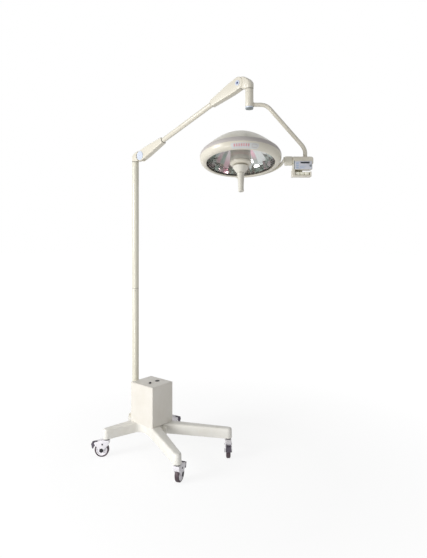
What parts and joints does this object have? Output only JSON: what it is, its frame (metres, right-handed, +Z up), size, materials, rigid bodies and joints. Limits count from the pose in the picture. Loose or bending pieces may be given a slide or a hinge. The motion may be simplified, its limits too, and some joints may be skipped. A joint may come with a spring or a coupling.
{
  "type": "surgical light",
  "caption": "Mobile operating light: whole-reflection lamp head in a half gimbal, spring-balanced arm, two-piece pole, battery box and castored base.",
  "frame": {"origin": "on the floor, under the middle of the whole object as it stands at rest", "axes": "+Z up; +X from the pole along the spring arm; +Y to the left of the arm"},
  "size_m": [1.4225, 0.761, 2.5265],
  "materials": {
    "cream_paint": "satin baked enamel, off-white",
    "cast_paint": "casting filled and painted off-white",
    "arm_paint": "satin baked enamel over aluminium castings, off-white",
    "band_grey": "satin moulded plastic, warm grey",
    "panel_blue": "membrane panel, pale blue-grey",
    "hinge_blue": "gloss cap, pale blue",
    "dark_plastic": "matt dark blue-grey plastic",
    "black_plastic": "fine-textured black plastic",
    "tyre_rubber": "dark grey-violet polyurethane tread",
    "caster_white": "moulded white nylon",
    "steel": "bright turned steel",
    "mirror": "evaporated aluminium mirror",
    "clear_glass": "clear toughened glass",
    "filter_glass": "coated heat filter, pinkish",
    "handle_plastic": "sterilisable ivory plastic",
    "battery_case": "dark battery case",
    "key_cap": "pale yellow-green key caps"
  },
  "bodies": {
    "base": {"base_casting": "cast_paint", "box_shell": "cream_paint", "box_lid": "cream_paint", "battery_pack": "battery_case", "power_supply": "steel", "mains_inlet": "black_plastic", "fuse_cap": "black_plastic", "pole_socket": "cream_paint", "pole_lower": "cream_paint", "pole_upper": "cream_paint"},
    "switch": {"rocker_switch": "black_plastic"},
    "elbow": {"lower_elbow": "arm_paint"},
    "arm": {"lower_housing": "arm_paint", "upper_housing": "arm_paint", "arm_tube": "arm_paint", "lower_hinge_pin": "hinge_blue", "upper_hinge_pin": "hinge_blue", "balance_spring": "steel", "spring_rod": "steel"},
    "link": {"levelling_link": "steel"},
    "top_elbow": {"upper_elbow": "arm_paint"},
    "yoke": {"yoke_hub": "arm_paint", "hub_cap": "dark_plastic", "yoke_tube": "cream_paint", "control_box": "arm_paint", "control_panel": "panel_blue", "display_window": "black_plastic", "key_tray": "arm_paint"},
    "button": {"panel_button": "dark_plastic"},
    "key_dim": {"key_dim": "key_cap"},
    "key_bright": {"key_bright": "key_cap"},
    "key_power": {"key_power": "key_cap"},
    "gimbal": {"gimbal_block": "arm_paint", "half_yoke": "arm_paint"},
    "head": {"dome_shell": "arm_paint", "rim_band": "band_grey", "bezel_ring": "arm_paint", "reflector": "mirror", "cover_glass": "clear_glass", "lamp_dish": "arm_paint", "heat_filter": "filter_glass"},
    "focus": {"focus_cup": "handle_plastic"},
    "carriage": {"bulb_carriage": "steel"},
    "handle": {"sterile_handle": "handle_plastic"},
    "caster_front_left": {"caster_fork_front_left": "caster_white"},
    "wheel_front_left": {"caster_disc_front_left": "caster_white", "caster_tyre_front_left": "tyre_rubber"},
    "pedal_front_left": {"brake_pedal_front_left": "black_plastic"},
    "caster_rear_left": {"caster_fork_rear_left": "caster_white"},
    "wheel_rear_left": {"caster_disc_rear_left": "caster_white", "caster_tyre_rear_left": "tyre_rubber"},
    "pedal_rear_left": {"brake_pedal_rear_left": "black_plastic"},
    "caster_rear_right": {"caster_fork_rear_right": "caster_white"},
    "wheel_rear_right": {"caster_disc_rear_right": "caster_white", "caster_tyre_rear_right": "tyre_rubber"},
    "pedal_rear_right": {"brake_pedal_rear_right": "black_plastic"},
    "caster_front_right": {"caster_fork_front_right": "caster_white"},
    "wheel_front_right": {"caster_disc_front_right": "caster_white", "caster_tyre_front_right": "tyre_rubber"},
    "pedal_front_right": {"brake_pedal_front_right": "black_plastic"}
  },
  "joints": [
    {"name": "arm_swivel", "type": "hinge", "parent": "base", "child": "elbow", "pos_m": [-0.655, 0, 2.099], "axis": [0, 0, 1], "range_deg": [-170, 170]},
    {"name": "arm_lift", "type": "hinge", "parent": "elbow", "child": "arm", "pos_m": [-0.58, 0, 2.137], "axis": [0, 1, 0], "range_deg": [-20, 50]},
    {"name": "link_turn", "type": "hinge", "parent": "elbow", "child": "link", "pos_m": [-0.58, 0, 2.126], "axis": [0, 1, 0], "range_deg": [-20, 50]},
    {"name": "head_level", "type": "hinge", "parent": "arm", "child": "top_elbow", "pos_m": [0.31908, 0, 2.48754], "axis": [0, 1, 0], "range_deg": [-50, 20]},
    {"name": "yoke_swivel", "type": "hinge", "parent": "top_elbow", "child": "yoke", "pos_m": [0.39408, 0, 2.44154], "axis": [0, 0, 1], "range_deg": [-170, 170]},
    {"name": "gimbal_roll", "type": "hinge", "parent": "yoke", "child": "gimbal", "pos_m": [0.35272, -0.03471, 2.00554], "axis": [0.766, 0.6428, 0], "range_deg": [-76, 104]},
    {"name": "head_tilt", "type": "hinge", "parent": "gimbal", "child": "head", "pos_m": [0.35272, -0.03471, 2.00554], "axis": [-0.6237, 0.7433, -0.2419], "range_deg": [-90, 90]},
    {"name": "focus_turn", "type": "hinge", "parent": "head", "child": "focus", "pos_m": [0.35272, -0.03471, 2.00554], "axis": [-0.1555, 0.1853, 0.9703], "range_deg": [-135, 135]},
    {"name": "carriage_slide", "type": "slide", "parent": "head", "child": "carriage", "axis": [-0.1555, 0.1853, 0.9703], "range_m": [-0.008, 0.008]},
    {"name": "handle_pull", "type": "slide", "parent": "focus", "child": "handle", "axis": [0.1555, -0.1853, -0.9703], "range_m": [0, 0.1]},
    {"name": "button_press", "type": "slide", "parent": "yoke", "child": "button", "axis": [-0.6428, 0.766, 0], "range_m": [0, 0.0015], "stiffness_N_per_m": 300},
    {"name": "key_dim_press", "type": "slide", "parent": "yoke", "child": "key_dim", "axis": [-0.6428, 0.766, 0], "range_m": [0, 0.002], "stiffness_N_per_m": 300},
    {"name": "key_bright_press", "type": "slide", "parent": "yoke", "child": "key_bright", "axis": [-0.6428, 0.766, 0], "range_m": [0, 0.002], "stiffness_N_per_m": 300},
    {"name": "key_power_press", "type": "slide", "parent": "yoke", "child": "key_power", "axis": [-0.6428, 0.766, 0], "range_m": [0, 0.002], "stiffness_N_per_m": 300},
    {"name": "switch_rock", "type": "hinge", "parent": "base", "child": "switch", "pos_m": [-0.46, 0.039, 0.48], "axis": [0, 1, 0], "range_deg": [-10, 0]},
    {"name": "caster_swivel_front_left", "type": "hinge", "parent": "base", "child": "caster_front_left", "pos_m": [0.029, 0.256, 0.126], "axis": [0, 0, 1], "continuous": true},
    {"name": "wheel_roll_front_left", "type": "hinge", "parent": "caster_front_left", "child": "wheel_front_left", "pos_m": [0.05021, 0.23072, 0.05], "axis": [-0.766, -0.6428, 0], "continuous": true},
    {"name": "pedal_press_front_left", "type": "hinge", "parent": "caster_front_left", "child": "pedal_front_left", "pos_m": [0.07721, 0.19855, 0.097], "axis": [0.766, 0.6428, 0], "range_deg": [0, 10]},
    {"name": "caster_swivel_rear_left", "type": "hinge", "parent": "base", "child": "caster_rear_left", "pos_m": [-0.615, 0.298, 0.126], "axis": [0, 0, 1], "continuous": true},
    {"name": "wheel_roll_rear_left", "type": "hinge", "parent": "caster_rear_left", "child": "wheel_rear_left", "pos_m": [-0.59167, 0.32133, 0.05], "axis": [0.7071, -0.7071, 0], "continuous": true},
    {"name": "pedal_press_rear_left", "type": "hinge", "parent": "caster_rear_left", "child": "pedal_rear_left", "pos_m": [-0.56197, 0.35103, 0.097], "axis": [-0.7071, 0.7071, 0], "range_deg": [0, 10]},
    {"name": "caster_swivel_rear_right", "type": "hinge", "parent": "base", "child": "caster_rear_right", "pos_m": [-0.615, -0.298, 0.126], "axis": [0, 0, 1], "continuous": true},
    {"name": "wheel_roll_rear_right", "type": "hinge", "parent": "caster_rear_right", "child": "wheel_rear_right", "pos_m": [-0.64028, -0.31921, 0.05], "axis": [-0.6428, 0.766, 0], "continuous": true},
    {"name": "pedal_press_rear_right", "type": "hinge", "parent": "caster_rear_right", "child": "pedal_rear_right", "pos_m": [-0.67245, -0.34621, 0.097], "axis": [0.6428, -0.766, 0], "range_deg": [0, 10]},
    {"name": "caster_swivel_front_right", "type": "hinge", "parent": "base", "child": "caster_front_right", "pos_m": [0.029, -0.256, 0.126], "axis": [0, 0, 1], "continuous": true},
    {"name": "wheel_roll_front_right", "type": "hinge", "parent": "caster_front_right", "child": "wheel_front_right", "pos_m": [0.01771, -0.22499, 0.05], "axis": [0.9397, 0.342, 0], "continuous": true},
    {"name": "pedal_press_front_right", "type": "hinge", "parent": "caster_front_right", "child": "pedal_front_right", "pos_m": [0.00335, -0.18552, 0.097], "axis": [-0.9397, -0.342, 0], "range_deg": [0, 10]}
  ],
  "couplings": [
    {"joint": "link_turn", "follows": "arm_lift", "ratio": 1},
    {"joint": "head_level", "follows": "arm_lift", "ratio": -1},
    {"joint": "carriage_slide", "follows": "focus_turn", "m_per_rad": 0.00339}
  ]
}
